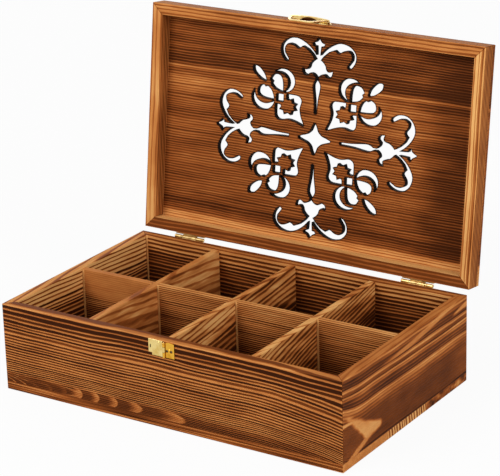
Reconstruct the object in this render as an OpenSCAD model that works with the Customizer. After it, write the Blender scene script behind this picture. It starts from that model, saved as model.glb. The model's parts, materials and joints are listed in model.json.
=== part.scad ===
// Hinged wooden tea bag organizer box with eight compartments, shown with its lid open.
// Origin: centre of the underside. +X runs along the front to the right, +Y to the rear, +Z up.

/* [Box] */
// Width of the box along its front
box_w = 330; // [300:1:420]
// Depth of the box from front to rear
box_d = 204; // [196:1:280]
// Height of the base, bottom board included
base_h = 77.5; // [60:0.5:110]
// Thickness of the four base walls
wall_t = 9.5; // [7:0.5:12]
// Thickness of the bottom board
bottom_t = 7.5; // [4:0.5:10]
// Rounding along the outer edges of the boards
edge_r = 0.9; // [0.3:0.1:1.5]

/* [Dividers] */
// Thickness of the divider boards
divider_t = 6; // [4:0.5:8]
// How far the divider tops lie below the rim
divider_drop = 0.8; // [0.4:0.1:3]
// Side clearance in the half-lap slots
lap_gap = 0.1; // [0.05:0.05:0.3]

/* [Lid] */
// Height of the lid's frame rails
rail_h = 13; // [12:0.5:18]
// Thickness of the lid's frame rails
rail_t = 10.2; // [8:0.2:13]
// Thickness of the lid's top panel
panel_t = 4.2; // [3:0.2:6]
// Angle between lid and rim where the hinges stop
open_angle = 97.6; // [92:0.1:110]

/* [Ornament] */
// Width of the pierced rosette
rosette_w = 201.5; // [170:0.5:230]
// Depth of the pierced rosette
rosette_d = 176; // [150:1:176]

/* [Hinges] */
// Length of a hinge
hinge_w = 30; // [24:0.5:40]
// Distance from the side of the box to a hinge
hinge_inset = 34; // [20:1:60]
// Height of a hinge leaf
leaf_h = 10; // [8:0.5:11]
// Thickness of a hinge leaf
leaf_t = 0.9; // [0.7:0.1:1.1]
// Distance of the hinge axis behind the rear face
axis_out = 3; // [2.9:0.1:3.4]
// Radius of the hinge barrel
barrel_r = 1.6; // [1.5:0.1:1.7]
// Radius of the hinge pin
hinge_pin_r = 0.8; // [0.6:0.1:0.9]
// Radius of the hinge screws' shanks
screw_r = 0.9; // [0.7:0.1:1.1]
// Length of the hinge screws' shanks in the wood
screw_l = 6; // [4:0.5:6.5]

/* [Catch] */
// Offset of the catch pin from the middle of the front
catch_x = 0.5; // [-30:0.5:30]
// Height of the catch plate and flap
catch_h = 13.4; // [12:0.2:18]
// Distance from the rim down to the top of the catch
catch_drop = 0.5; // [0.4:0.1:3]
// Width of the nailed catch plate
plate_w = 9.7; // [9.4:0.1:14]
// Width of the turning flap
flap_w = 15.1; // [14:0.1:16]
// Thickness of the catch's sheet brass
sheet_t = 0.8; // [0.6:0.1:1]
// Radius of the catch's knuckles
knuckle_r = 1.2; // [1.1:0.05:1.3]
// Radius of the catch's pin
catch_pin_r = 0.55; // [0.4:0.05:0.6]

/* [Hasp] */
// Width of the hasp plate across its points
hasp_w = 41; // [38:0.5:50]
// Height of the hasp plate
hasp_h = 8; // [7:0.5:9]
// Offset of the hasp's middle from the catch pin
hasp_shift = -4.5; // [-5:0.1:-4]
// Outer width of the loop's crossbar
loop_w = 18.8; // [18.4:0.2:20]
// Width of the loop's strap
strap_w = 1.7; // [1.4:0.1:2]
// Thickness of the loop's strap
strap_t = 1; // [0.8:0.1:1.2]
// Height of the finger lip in its middle
lip_h = 5.6; // [5:0.2:8]
// Lean of the finger lip towards the loop
lip_lean = 22; // [10:1:25]

/* [Fits] */
// Radial clearance of a knuckle on its pin
pin_gap = 0.05; // [0.02:0.01:0.1]
// Gap between neighbouring knuckles
knuckle_gap = 0.3; // [0.2:0.05:0.5]
// Radial clearance of nails and screws in their holes
nail_gap = 0.05; // [0.02:0.01:0.1]
// Gap between the loop and what it passes over
loop_gap = 0.4; // [0.3:0.05:0.8]
// Gap between the closed lid and the rim
seat_gap = 0.15; // [0.05:0.05:0.5]

/* [Hidden] */
$fn = 48;

wood_dark = [0.36, 0.19, 0.10];
wood_mid = [0.50, 0.28, 0.13];
wood_light = [0.64, 0.40, 0.20];
brass_color = [0.86, 0.68, 0.26];
steel_color = [0.35, 0.33, 0.30];

over = 1;                                       // overrun of a cutting shape
wall_h = base_h - bottom_t;
inner_w = box_w - 2 * wall_t;
inner_d = box_d - 2 * wall_t;
column_pitch = (inner_w + divider_t) / 4;       // four compartments in a row
divider_h = wall_h - divider_drop;
divider_r = 0.4;                                // edge rounding of the dividers

// ---- Curves --------------------------------------------------------------------------

// Points of an arc around c from angle a0 to a1
function arc(c, r, a0, a1, steps) =
    [for (i = [0:steps]) let (a = a0 + (a1 - a0) * i / steps) c + r * [cos(a), sin(a)]];

// One point of the smooth curve through b and c, with a and d as their outer neighbours
function curve_point(a, b, c, d, t) =
    0.5 * (2 * b + (c - a) * t + (2 * a - 5 * b + 4 * c - d) * t * t
           + (3 * b - a - 3 * c + d) * t * t * t);

// Smooth open curve through a list of points
function smooth(p, steps = 3) =
    let (last = len(p) - 1)
    [for (i = [0:last - 1], k = [0:steps - 1])
        curve_point(p[max(i - 1, 0)], p[i], p[i + 1], p[min(i + 2, last)], k / steps),
     p[last]];

function backwards(p) = [for (i = [len(p) - 1:-1:0]) p[i]];
function flipped(p) = [for (q = p) [-q.x, q.y]];
// A left half closed by its mirror image about the Y axis
function both_sides(half) = concat(half, backwards(flipped(half)));
function turned(p, a) = [for (q = p) [q.x * cos(a) - q.y * sin(a), q.x * sin(a) + q.y * cos(a)]];

// ---- Boards --------------------------------------------------------------------------

// Cross-section of a board standing on its lower edge, with rounded upper edges
function board_profile(t, h, r) = concat(
    [[0, 0], [t, 0]], arc([t - r, h - r], r, 0, 90, 3), arc([r, h - r], r, 90, 180, 3));

// Plan of a mitred board along X whose outer face lies on y = 0, with rounded box corners
function mitre_plan(length, t, r) =
    let (tip = arc([r - length / 2, r], r, 225, 270, 2))
    concat([[t - length / 2, t]], tip, backwards(flipped(tip)), [[length / 2 - t, t]]);

// A mitred board along X: outer face on y = 0, standing on z = 0
module mitred_board(length, t, h, r_plan, r_top) {
    intersection() {
        translate([-length / 2, 0, 0])
            rotate([90, 0, 90])
                linear_extrude(length) polygon(board_profile(t, h, r_top));
        linear_extrude(h) polygon(mitre_plan(length, t, r_plan));
    }
}

// Puts a board for the front on one of the four sides: 0 front, 1 right, 2 rear, 3 left
module on_side(side) {
    half = side % 2 == 0 ? box_d / 2 : box_w / 2;
    rotate([0, 0, 90 * side]) translate([0, -half, 0]) children();
}

// Cuts the long edges around a slab's top so that it has a narrow rounded border
module slab_border(z, r) {
    for (side = [0:3]) {
        length = side % 2 == 0 ? box_w : box_d;
        on_side(side)
            translate([-length / 2 - over, 0, z])
                rotate([90, 0, 90])
                    linear_extrude(length + 2 * over)
                        polygon(concat(arc([r, -r], r, 180, 90, 3), [[r, over], [-over, over], [-over, -r]]));
    }
}

// A slab as large as the box with rounded vertical corners
module slab(t) {
    r = edge_r;
    corners = concat(
        arc([box_w / 2 - r, box_d / 2 - r], r, 0, 90, 4),
        arc([r - box_w / 2, box_d / 2 - r], r, 90, 180, 4),
        arc([r - box_w / 2, r - box_d / 2], r, 180, 270, 4),
        arc([box_w / 2 - r, r - box_d / 2], r, 270, 360, 4));
    linear_extrude(t) difference() {
        polygon(corners);
        children();
    }
}

// ---- Base ----------------------------------------------------------------------------

module bottom_board() {
    color(wood_mid) difference() {
        slab(bottom_t);
        mirror([0, 0, 1]) slab_border(0, edge_r);
    }
}

module base_wall(side) {
    length = side % 2 == 0 ? box_w : box_d;
    on_side(side)
        translate([0, 0, bottom_t])
            mitred_board(length, wall_t, wall_h, edge_r, edge_r);
}

module front_wall() {
    color(wood_dark) difference() {
        base_wall(0);
        at_catch() catch_nail_places() nail_hole(catch_nail_r, catch_nail_l);
    }
}

module rear_wall() {
    color(wood_dark) difference() {
        base_wall(2);
        for (side = [-1, 1]) at_hinge(side) base_screw_places() screw_hole();
    }
}

module left_wall() { color(wood_mid) base_wall(3); }
module right_wall() { color(wood_dark) base_wall(1); }

// A divider board along X, centred, standing on the bottom board
module divider_board(length) {
    profile = concat([[-divider_t / 2, 0], [divider_t / 2, 0]],
        arc([divider_t / 2 - divider_r, divider_h - divider_r], divider_r, 0, 90, 2),
        arc([divider_r - divider_t / 2, divider_h - divider_r], divider_r, 90, 180, 2));
    translate([-length / 2, 0, bottom_t])
        rotate([90, 0, 90]) linear_extrude(length) polygon(profile);
}

module lap_slot(z, h) {
    w = divider_t + 2 * lap_gap;
    translate([-w / 2, -divider_t, z]) cube([w, 2 * divider_t, h]);
}

module long_divider() {
    color(wood_mid) difference() {
        divider_board(inner_w);
        for (k = [-1:1])
            translate([k * column_pitch, 0, 0])
                lap_slot(bottom_t + divider_h / 2, divider_h / 2 + over);
    }
}

module cross_divider(k) {
    color(wood_light) translate([k * column_pitch, 0, 0]) rotate([0, 0, 90]) difference() {
        divider_board(inner_d);
        lap_slot(bottom_t - over, divider_h / 2 + over);
    }
}

module cross_divider_left() { cross_divider(-1); }
module cross_divider_middle() { cross_divider(0); }
module cross_divider_right() { cross_divider(1); }

// ---- Rosette: openings cut through the lid's panel ------------------------------------

// The rosette is drawn on a grid of 88 steps from centre to tip, then stretched to its size.
tip_count = 88;
stretch = [rosette_w, rosette_d] / (2 * tip_count);

// Draws an outline turned into one of the four quarters
module opening(p, a) {
    polygon([for (q = turned(p, a)) [q.x * stretch.x, q.y * stretch.y]]);
}

// Four-pointed star in the middle: one quarter of its outline, repeated
star_quarter = smooth([[14, 0.5], [10.5, 2], [7, 3.2], [4.9, 4.9], [3.2, 7], [2, 10.5], [0.5, 14]]);
star = [for (k = [0:3]) each turned(star_quarter, 90 * k)];

// Pointed needle between the star and the flower
needle = both_sides(concat(
    smooth([[-1, 22.3], [-1.4, 33], [-3, 44.5], [-2.6, 48.4], [-0.9, 51.2]]), [[-0.7, 54.5]]));

// Bell flower with a curled petal on each side
flower = both_sides(concat(
    smooth([[-0.4, 53.8], [-3, 56.6], [-6.2, 57.4], [-9, 55.3], [-12.2, 56.6], [-13.2, 60.6]], 3),
    smooth([[-11.2, 59.8], [-9, 59.8], [-7.4, 61.8], [-6.6, 64.8], [-4.2, 67.8], [-1.6, 69.6]], 3)));

// Small crown at the tip of an arm, on its stem
crown = both_sides(concat(
    [[-1.6, 68.5], [-1.8, 76], [-2.2, 81], [-4.4, 81.4]],
    smooth([[-5.4, 83.2], [-2.6, 84.4], [-0.3, 88]])));

// Scroll with a leaf swelling, from the stem out to its curled end
scroll = concat(
    smooth([[0, 70.5], [-4.6, 77], [-11, 82.4], [-19, 85.6], [-27, 83.8], [-32, 78.4],
            [-32.4, 72], [-29.8, 66.8], [-27.2, 65], [-25.6, 66.2], [-26.6, 68]]),
    smooth([[-29.2, 72], [-29.4, 76.4], [-26.6, 80.2], [-22, 79.8], [-17.6, 77.2], [-14, 79.6]]),
    smooth([[-9.4, 77.4], [-5, 73.2], [-2, 68.8]]));

// The corner motifs are drawn along +Y and turned to the diagonal.

// Bracket with concave sides around a leaf whose edge is cut in teeth
leaf_teeth = 6;
leaf_centre = [0, 35.2];
tooth_angle = 22;
bracket_outer = smooth([[-6.7, 43.6], [-10.6, 39.8], [-14.1, 35.4], [-13.2, 31], [-7.4, 27.2],
                        [-3.4, 21.4], [-0.3, 13.8]], 3);
bracket_inner = [for (i = [0:2 * leaf_teeth])
    let (a = -90 + (i - leaf_teeth) * tooth_angle, r = i % 2 == 0 ? 5.6 : 8)
    leaf_centre + r * [cos(a), sin(a)]];
bracket = concat(bracket_outer, backwards(flipped(bracket_outer)),
    [[4, 40.4]], backwards(bracket_inner), [[-4, 40.4]]);

// Small square link beyond the bracket
link_r = 4.5;
link = [for (a = [0:90:270]) [0, 45] + link_r * [cos(a), sin(a)]];

// Bud: a crescent between two circles, around a petal
crescent = concat(arc([-12.4, 54], 10.2, 308, 96, 16), arc([-7.5, 56], 9.6, 118, 279, 12));
petal = concat(
    smooth([[-5.4, 47], [-9.8, 51.6], [-13, 56.4], [-12.8, 60.4], [-8.6, 63.2], [-3.8, 62.2]], 3),
    [[-3.9, 59.6]],
    smooth([[-1.9, 58.8], [-1.6, 54.6], [-3.2, 50.2]], 3));

// Oval leaf at the outer end of the corner motif
tip_leaf = both_sides(smooth([[-0.4, 63.2], [-2.4, 67], [-3.3, 72], [-2.9, 76.6], [-0.8, 79.6]]));

module rosette() {
    opening(star, 0);
    for (k = [0:3]) {
        for (p = [needle, flower, crown, scroll, flipped(scroll)]) opening(p, 90 * k);
        for (p = [bracket, link, crescent, flipped(crescent), petal, flipped(petal), tip_leaf])
            opening(p, 90 * k + 45);
    }
}

// ---- Lid: drawn closed on the base, then swung open ------------------------------------

axis_y = box_d / 2 + axis_out;
lid_z = base_h + seat_gap;                      // underside of the closed lid
module swung_open() {
    translate([0, axis_y, base_h])
        rotate([-open_angle, 0, 0])
            translate([0, -axis_y, -base_h]) children();
}

module lid_panel() {
    color(wood_mid) swung_open() translate([0, 0, lid_z + rail_h]) difference() {
        slab(panel_t) rosette();
        slab_border(panel_t, edge_r);
    }
}

module lid_rail(side) {
    length = side % 2 == 0 ? box_w : box_d;
    translate([0, 0, lid_z + rail_h])
        mirror([0, 0, 1])
            on_side(side) mitred_board(length, rail_t, rail_h, edge_r, edge_r / 2);
}

module lid_front_rail() {
    color(wood_mid) swung_open() difference() {
        lid_rail(0);
        at_hasp() hasp_nail_places() nail_hole(hasp_nail_r, hasp_nail_l);
    }
}

module lid_rear_rail() {
    color(wood_mid) swung_open() difference() {
        lid_rail(2);
        for (side = [-1, 1]) at_hinge(side) lid_screw_places() screw_hole();
    }
}

module lid_left_rail() { color(wood_light) swung_open() lid_rail(3); }
module lid_right_rail() { color(wood_light) swung_open() lid_rail(1); }

// ---- Fasteners: drawn along +Z with the wood's face at z = 0 ---------------------------

screw_head_r = 2 * screw_r;
screw_slot_w = 0.5;
screw_slot_d = 0.35;
screw_crown = 0.25;                             // how far a screw head stands proud

module screw_hole() {
    translate([0, 0, -screw_l - 0.3]) cylinder(h = screw_l + 0.3 + over, r = screw_r + nail_gap);
}

module leaf_countersink() {
    translate([0, 0, -over]) cylinder(h = leaf_t + 2 * over, r = screw_r + nail_gap);
    translate([0, 0, leaf_t - (screw_head_r - screw_r)])
        cylinder(h = screw_head_r - screw_r + 0.01, r1 = screw_r + nail_gap, r2 = screw_head_r + nail_gap);
}

module screw() {
    cone_h = screw_head_r - screw_r;
    difference() {
        union() {
            translate([0, 0, -screw_l]) cylinder(h = screw_l + leaf_t, r = screw_r);
            translate([0, 0, leaf_t - cone_h]) cylinder(h = cone_h, r1 = screw_r, r2 = screw_head_r);
            translate([0, 0, leaf_t]) cylinder(h = screw_crown, r1 = screw_head_r, r2 = screw_head_r - 0.3);
        }
        for (a = [0, 90])
            rotate([0, 0, a])
                translate([-screw_head_r * 0.6, -screw_slot_w / 2, leaf_t + screw_crown - screw_slot_d])
                    cube([screw_head_r * 1.2, screw_slot_w, over]);
    }
}

module nail_hole(r, l) {
    translate([0, 0, -l - 0.3]) cylinder(h = l + 0.3 + over, r = r + nail_gap);
}

// A nail whose head of radius head_r lies on z = seat, with a low domed crown
module nail(r, l, head_r, seat, head_h) {
    translate([0, 0, -l]) cylinder(h = l + seat, r = r);
    translate([0, 0, seat]) cylinder(h = head_h * 0.5, r = head_r);
    translate([0, 0, seat + head_h * 0.5]) cylinder(h = head_h * 0.5, r1 = head_r, r2 = head_r * 0.55);
}

// ---- Hinges ----------------------------------------------------------------------------
// Drawn in a frame on the rear face: x along the hinge, y out from the face, z up from the rim.

hinge_x = box_w / 2 - hinge_inset - hinge_w / 2;
leaf_edge = 0.6;                                // distance of a leaf's edge from the parting line
screw_spacing = hinge_w * 0.56;
barrel_end = hinge_w / 4;                       // each outer knuckle takes a quarter of the barrel
stop_gap = 0.05;                                // gap at the hinge's stop
pin_head_r = hinge_pin_r + 0.35;
pin_head_t = 0.4;

module at_hinge(side) {
    translate([side * hinge_x, box_d / 2, base_h]) children();
}

// Screw places on the base's leaf, with +Z pointing out of the rear face
module base_screw_places() {
    for (s = [-1, 1])
        translate([s * screw_spacing / 2, 0, -leaf_edge - leaf_h / 2]) rotate([-90, 0, 0]) children();
}

module lid_screw_places() {
    for (s = [-1, 1])
        translate([s * screw_spacing / 2, 0, leaf_edge + leaf_h / 2]) rotate([-90, 0, 0]) children();
}

// A knuckle with the tab that joins it to its leaf below; up = -1 puts the leaf above
module knuckle(x0, x1, up) {
    translate([x0, axis_out, 0]) rotate([0, 90, 0]) cylinder(h = x1 - x0, r = barrel_r);
    translate([x0, 0, up > 0 ? -barrel_r : barrel_r - leaf_t])
        cube([x1 - x0, axis_out, leaf_t]);
}

module pin_bore() {
    translate([-hinge_w, axis_out, 0]) rotate([0, 90, 0])
        cylinder(h = 2 * hinge_w, r = hinge_pin_r + pin_gap);
}

module base_leaf() {
    difference() {
        union() {
            translate([-hinge_w / 2, 0, -leaf_edge - leaf_h]) cube([hinge_w, leaf_t, leaf_h]);
            knuckle(-hinge_w / 2, -hinge_w / 2 + barrel_end - knuckle_gap / 2, 1);
            knuckle(hinge_w / 2 - barrel_end + knuckle_gap / 2, hinge_w / 2, 1);
        }
        pin_bore();
        base_screw_places() leaf_countersink();
    }
}

// Heel on the lid's knuckle that meets the base's leaf where the lid stops, drawn in the open pose
module stop_heel() {
    half = hinge_w / 2 - barrel_end - knuckle_gap / 2;
    translate([-half, 0, 0]) rotate([90, 0, 90])
        linear_extrude(2 * half)
            polygon([[leaf_t + stop_gap, -0.9], [leaf_t + stop_gap, -1.9],
                     [axis_out - 0.4, -barrel_r + 0.1], [axis_out - barrel_r + 0.2, -0.2]]);
}

module lid_leaf() {
    difference() {
        union() {
            translate([-hinge_w / 2, 0, leaf_edge]) cube([hinge_w, leaf_t, leaf_h]);
            knuckle(-hinge_w / 2 + barrel_end + knuckle_gap / 2,
                    hinge_w / 2 - barrel_end - knuckle_gap / 2, -1);
            translate([0, axis_out, 0]) rotate([open_angle, 0, 0])
                translate([0, -axis_out, 0]) stop_heel();
        }
        pin_bore();
        lid_screw_places() leaf_countersink();
    }
}

module hinge_pin() {
    length = hinge_w + 0.2;
    translate([0, axis_out, 0]) rotate([0, 90, 0]) {
        translate([0, 0, -length / 2]) cylinder(h = length, r = hinge_pin_r);
        for (s = [0, 1]) mirror([0, 0, s])
            translate([0, 0, length / 2]) cylinder(h = pin_head_t, r1 = pin_head_r, r2 = pin_head_r * 0.6);
    }
}

module hinge_left_base_leaf() { color(brass_color) at_hinge(-1) base_leaf(); }
module hinge_right_base_leaf() { color(brass_color) at_hinge(1) base_leaf(); }
module hinge_left_lid_leaf() { color(brass_color) swung_open() at_hinge(-1) lid_leaf(); }
module hinge_right_lid_leaf() { color(brass_color) swung_open() at_hinge(1) lid_leaf(); }
module hinge_left_pin() { color(brass_color) at_hinge(-1) hinge_pin(); }
module hinge_right_pin() { color(brass_color) at_hinge(1) hinge_pin(); }

module hinge_base_screws() {
    color(brass_color) for (side = [-1, 1]) at_hinge(side) base_screw_places() screw();
}

module hinge_lid_screws() {
    color(brass_color) swung_open() for (side = [-1, 1]) at_hinge(side) lid_screw_places() screw();
}

// ---- Catch on the base's front -----------------------------------------------------------
// Drawn in a frame on the front face: x along the front from the pin, y up, z out of the face.

catch_nail_r = 0.6;
catch_nail_l = 6;
catch_head_r = 1;
knuckle_z = knuckle_r + 0.1;                    // height of the pin's axis above the wood
flap_lift = 0.2;                                // gap between the flap and the wood
catch_third = catch_h / 3;
flap_edge = knuckle_r + knuckle_gap;            // clears the plate's knuckles
notch_h = 2.2;                                  // notch in the flap's corner for the loop's leg

module at_catch() {
    translate([catch_x, -box_d / 2, base_h - catch_drop - catch_h]) rotate([90, 0, 0]) children();
}

module catch_nail_places() {
    for (x = [2.7, plate_w - 2.9]) translate([x, catch_h * 0.42, 0]) children();
}

module catch_knuckle(y0, y1) {
    translate([0, y0, knuckle_z]) rotate([-90, 0, 0]) cylinder(h = y1 - y0, r = knuckle_r);
}

module catch_bore() {
    translate([0, -over, knuckle_z]) rotate([-90, 0, 0])
        cylinder(h = catch_h + 2 * over, r = catch_pin_r + pin_gap);
}

module catch_plate() {
    peak = 0.8;                                 // low point in the middle of the top edge
    color(brass_color) at_catch() difference() {
        union() {
            linear_extrude(sheet_t)
                polygon([[0, 0], [plate_w, 0], [plate_w, catch_h - peak],
                         [plate_w * 0.5, catch_h], [0, catch_h - peak]]);
            catch_knuckle(0, catch_third - knuckle_gap / 2);
            catch_knuckle(2 * catch_third + knuckle_gap / 2, catch_h - peak);
            translate([plate_w * 0.5, catch_h * 0.5, sheet_t]) cylinder(h = 0.3, r1 = 0.9, r2 = 0.5);
        }
        catch_bore();
        // Room for the flap's knuckle
        translate([0, catch_third - knuckle_gap / 2, knuckle_z]) rotate([-90, 0, 0])
            cylinder(h = catch_third + knuckle_gap, r = knuckle_r + knuckle_gap / 2);
        catch_nail_places() {
            translate([0, 0, -over]) cylinder(h = sheet_t + 2 * over, r = catch_nail_r + nail_gap);
            translate([0, 0, sheet_t / 2]) cylinder(h = sheet_t, r = catch_head_r + 0.25);
        }
    }
}

module catch_flap() {
    slot_w = 0.9;
    slot_h = 3;
    color(brass_color) at_catch() difference() {
        union() {
            translate([0, 0, flap_lift]) linear_extrude(sheet_t)
                polygon([[-flap_edge, 0], [-flap_edge, catch_h], [-flap_w, catch_h],
                         [-flap_w, notch_h], [notch_w - flap_w, notch_h], [notch_w - flap_w, 0]]);
            catch_knuckle(catch_third + knuckle_gap / 2, 2 * catch_third - knuckle_gap / 2);
            translate([-flap_edge - 0.1, catch_third + knuckle_gap / 2, flap_lift])
                cube([flap_edge + 0.1, catch_third - knuckle_gap, sheet_t]);
            // Pressed button near the top edge, to turn the flap by
            translate([-flap_w * 0.36, catch_h - 1.4, flap_lift + sheet_t])
                cylinder(h = 0.5, r1 = 0.9, r2 = 0.6);
        }
        catch_bore();
        translate([1.4 - flap_w, catch_h * 0.45, -over]) cube([slot_w, slot_h, 4]);
    }
}

module catch_pin() {
    head = 0.3;
    color(brass_color) at_catch() translate([0, 0, knuckle_z]) rotate([-90, 0, 0]) {
        cylinder(h = catch_h - 0.8, r = catch_pin_r);
        translate([0, 0, -head]) cylinder(h = head, r1 = catch_pin_r, r2 = catch_pin_r + 0.3);
        translate([0, 0, catch_h - 0.8]) cylinder(h = head, r1 = catch_pin_r + 0.3, r2 = catch_pin_r);
    }
}

module catch_nails() {
    color(steel_color) at_catch() catch_nail_places()
        nail(catch_nail_r, catch_nail_l, catch_head_r, sheet_t / 2, 0.5);
}

// ---- Hasp on the lid's front rail ----------------------------------------------------------
// Drawn in a frame on the lid's front face: x from the hasp's middle, y up from the parting line,
// z out of the face. Its loop hangs over the catch when the lid is closed, and the flap
// turns out through the loop above the crossbar.

hasp_nail_r = 0.6;
hasp_nail_l = 6;
hasp_edge = 1;                                  // distance from the parting line to the plate
loop_z = knuckle_z + knuckle_r + loop_gap;      // height of the loop's inner face
loop_bottom = -catch_drop - catch_h - loop_gap - strap_w;
leg_bend = loop_bottom + strap_w + loop_gap + notch_h;  // where the legs turn steeper
// Inner half widths of the loop at the crossbar and at the bend
loop_half = loop_w / 2 - strap_w;
bend_half = flap_w + hasp_shift + loop_gap;
notch_w = bend_half - loop_half;                // width of the notch in the flap's corner
// The finger lip stands on the middle of the plate; its rim surrounds a lens-shaped dish.
lip_y = hasp_edge + hasp_h * 0.4;
lip_half = hasp_w / 2 - 1;
lip_end_h = (loop_z + strap_t) / cos(lip_lean); // the lip's ends carry the loop's legs
lip_rim = 0.6;
dish_half = hasp_w / 4;
leg_half = lip_half - 0.5;                      // outer half width where the legs meet the lip
leg_top = lip_y - (loop_z + strap_t / 2 - sheet_t / 2) * tan(lip_lean) - (sheet_t + lip_rim) / 2;

// Outline of the finger lip above the height z, with a bowed upper edge
function lip_outline(z) = concat([[-lip_half, z]],
    [for (i = [-8:8]) [lip_half * i / 8, lip_end_h + (lip_h - lip_end_h) * (1 - pow(i / 8, 2))]],
    [[lip_half, z]]);

// Outline of the dish in the lip: flat below, bowed above
dish_outline = [for (i = [-6:6]) [dish_half * i / 6, 1.2 + (lip_h - 2) * (1 - pow(i / 6, 2))]];

module at_hasp() {
    translate([catch_x + hasp_shift, -box_d / 2, base_h]) rotate([90, 0, 0]) children();
}

module hasp_nail_places() {
    for (s = [-1, 1]) translate([s * hasp_w * 0.27, hasp_edge + hasp_h * 0.6, 0]) children();
}

module hasp_lip() {
    translate([0, lip_y, sheet_t / 2]) rotate([90 + lip_lean, 0, 0]) {
        linear_extrude(sheet_t) polygon(lip_outline(0));
        translate([0, 0, sheet_t]) linear_extrude(lip_rim) difference() {
            polygon(lip_outline(lip_rim));
            polygon(dish_outline);
        }
    }
}

module hasp_loop() {
    outer = both_sides([[-loop_half - strap_w, loop_bottom], [-bend_half - strap_w, leg_bend - strap_w / 2],
                        [-leg_half, leg_top]]);
    inner = both_sides([[-loop_half, loop_bottom + strap_w], [-bend_half, leg_bend],
                        [1.1 * strap_w - leg_half, leg_top + over]]);
    translate([0, 0, loop_z]) linear_extrude(strap_t) difference() {
        polygon(outer);
        polygon(inner);
    }
}

module hasp() {
    point = hasp_h / 2;
    half = hasp_w / 2;
    color(brass_color) swung_open() at_hasp() difference() {
        union() {
            linear_extrude(sheet_t)
                polygon([[-half, hasp_edge + point], [-half + point, hasp_edge], [half - point, hasp_edge],
                         [half, hasp_edge + point], [half - point, hasp_edge + hasp_h],
                         [-half + point, hasp_edge + hasp_h]]);
            hasp_lip();
            hasp_loop();
        }
        hasp_nail_places() translate([0, 0, -over])
            cylinder(h = sheet_t + 2 * over, r = hasp_nail_r + nail_gap);
    }
}

module hasp_nails() {
    color(brass_color) swung_open() at_hasp() hasp_nail_places()
        nail(hasp_nail_r, hasp_nail_l, 1.3, sheet_t, 0.7);
}

// ---- Drawing ----------------------------------------------------------------------------

bottom_board();
front_wall();
rear_wall();
left_wall();
right_wall();
long_divider();
cross_divider_left();
cross_divider_middle();
cross_divider_right();
lid_panel();
lid_front_rail();
lid_rear_rail();
lid_left_rail();
lid_right_rail();
hinge_left_base_leaf();
hinge_left_lid_leaf();
hinge_left_pin();
hinge_right_base_leaf();
hinge_right_lid_leaf();
hinge_right_pin();
hinge_base_screws();
hinge_lid_screws();
catch_plate();
catch_flap();
catch_pin();
catch_nails();
hasp();
hasp_nails();
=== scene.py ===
# %% [markdown]
# # A torched wooden tea bag box
# The box is made of pine boards whose faces were burnt with a torch, brushed and oiled. It has
# eight compartments, a pierced lid on two brass hinges, and a brass catch. Every board and
# fitting comes from the construction model, which is loaded as a fixed frame, so nothing is
# modelled here but the floor. The lesson is about finishes: how one recipe of growth rings,
# burn and lighter outer edges gives fourteen boards that belong together, and no two alike.

# %% Load the frame
import json
import math
from dataclasses import dataclass
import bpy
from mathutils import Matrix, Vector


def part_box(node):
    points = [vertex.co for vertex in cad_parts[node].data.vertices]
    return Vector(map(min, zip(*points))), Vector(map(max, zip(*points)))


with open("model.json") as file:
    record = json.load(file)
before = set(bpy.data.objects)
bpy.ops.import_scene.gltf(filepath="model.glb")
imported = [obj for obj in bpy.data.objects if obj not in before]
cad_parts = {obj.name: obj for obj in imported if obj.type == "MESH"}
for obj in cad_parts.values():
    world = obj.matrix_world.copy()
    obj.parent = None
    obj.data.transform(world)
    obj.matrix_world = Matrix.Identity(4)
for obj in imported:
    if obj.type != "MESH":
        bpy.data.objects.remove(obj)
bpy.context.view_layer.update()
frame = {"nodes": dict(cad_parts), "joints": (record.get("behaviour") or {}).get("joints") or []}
from types import SimpleNamespace
import bmesh
import bpy
from mathutils import Matrix, Vector

nodes = frame["nodes"]

# %% [markdown]
# ## Arithmetic on sockets
# A procedural material is a sum of many small nodes. They could be placed and linked by hand,
# but a hundred Math nodes hide the idea behind them. So one small class wraps a socket, and
# adding, subtracting or multiplying wrapped sockets makes the Math nodes.

# %% A wire that can be added and multiplied
class Wire:
    """One output socket of a node tree, with arithmetic."""

    def __init__(self, recipe, socket):
        self.recipe = recipe
        self.socket = socket

    def math(self, operation, *others):
        return self.recipe.math(operation, self, *others)

    def __add__(self, other):
        return self.math("ADD", other)

    def __sub__(self, other):
        return self.math("SUBTRACT", other)

    def __rsub__(self, other):
        return self.recipe.math("SUBTRACT", other, self)

    def __mul__(self, other):
        return self.math("MULTIPLY", other)

    def __truediv__(self, other):
        return self.math("DIVIDE", other)

    def __neg__(self):
        return self.math("MULTIPLY", -1.0)

    def __abs__(self):
        return self.math("ABSOLUTE")

    __radd__ = __add__
    __rmul__ = __mul__

    def at_least(self, other):
        return self.math("MAXIMUM", other)

    def at_most(self, other):
        return self.math("MINIMUM", other)

    def output(self, name):
        """Another output of the same node."""
        return Wire(self.recipe, self.socket.node.outputs[name])


print("a wire adds, subtracts, multiplies and divides")

# %% [markdown]
# Every other node is made by one method, which sets the node's settings first and then its
# sockets, by value or by wire. The methods after it are short names for the few nodes that
# wood and brass need again and again.

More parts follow.
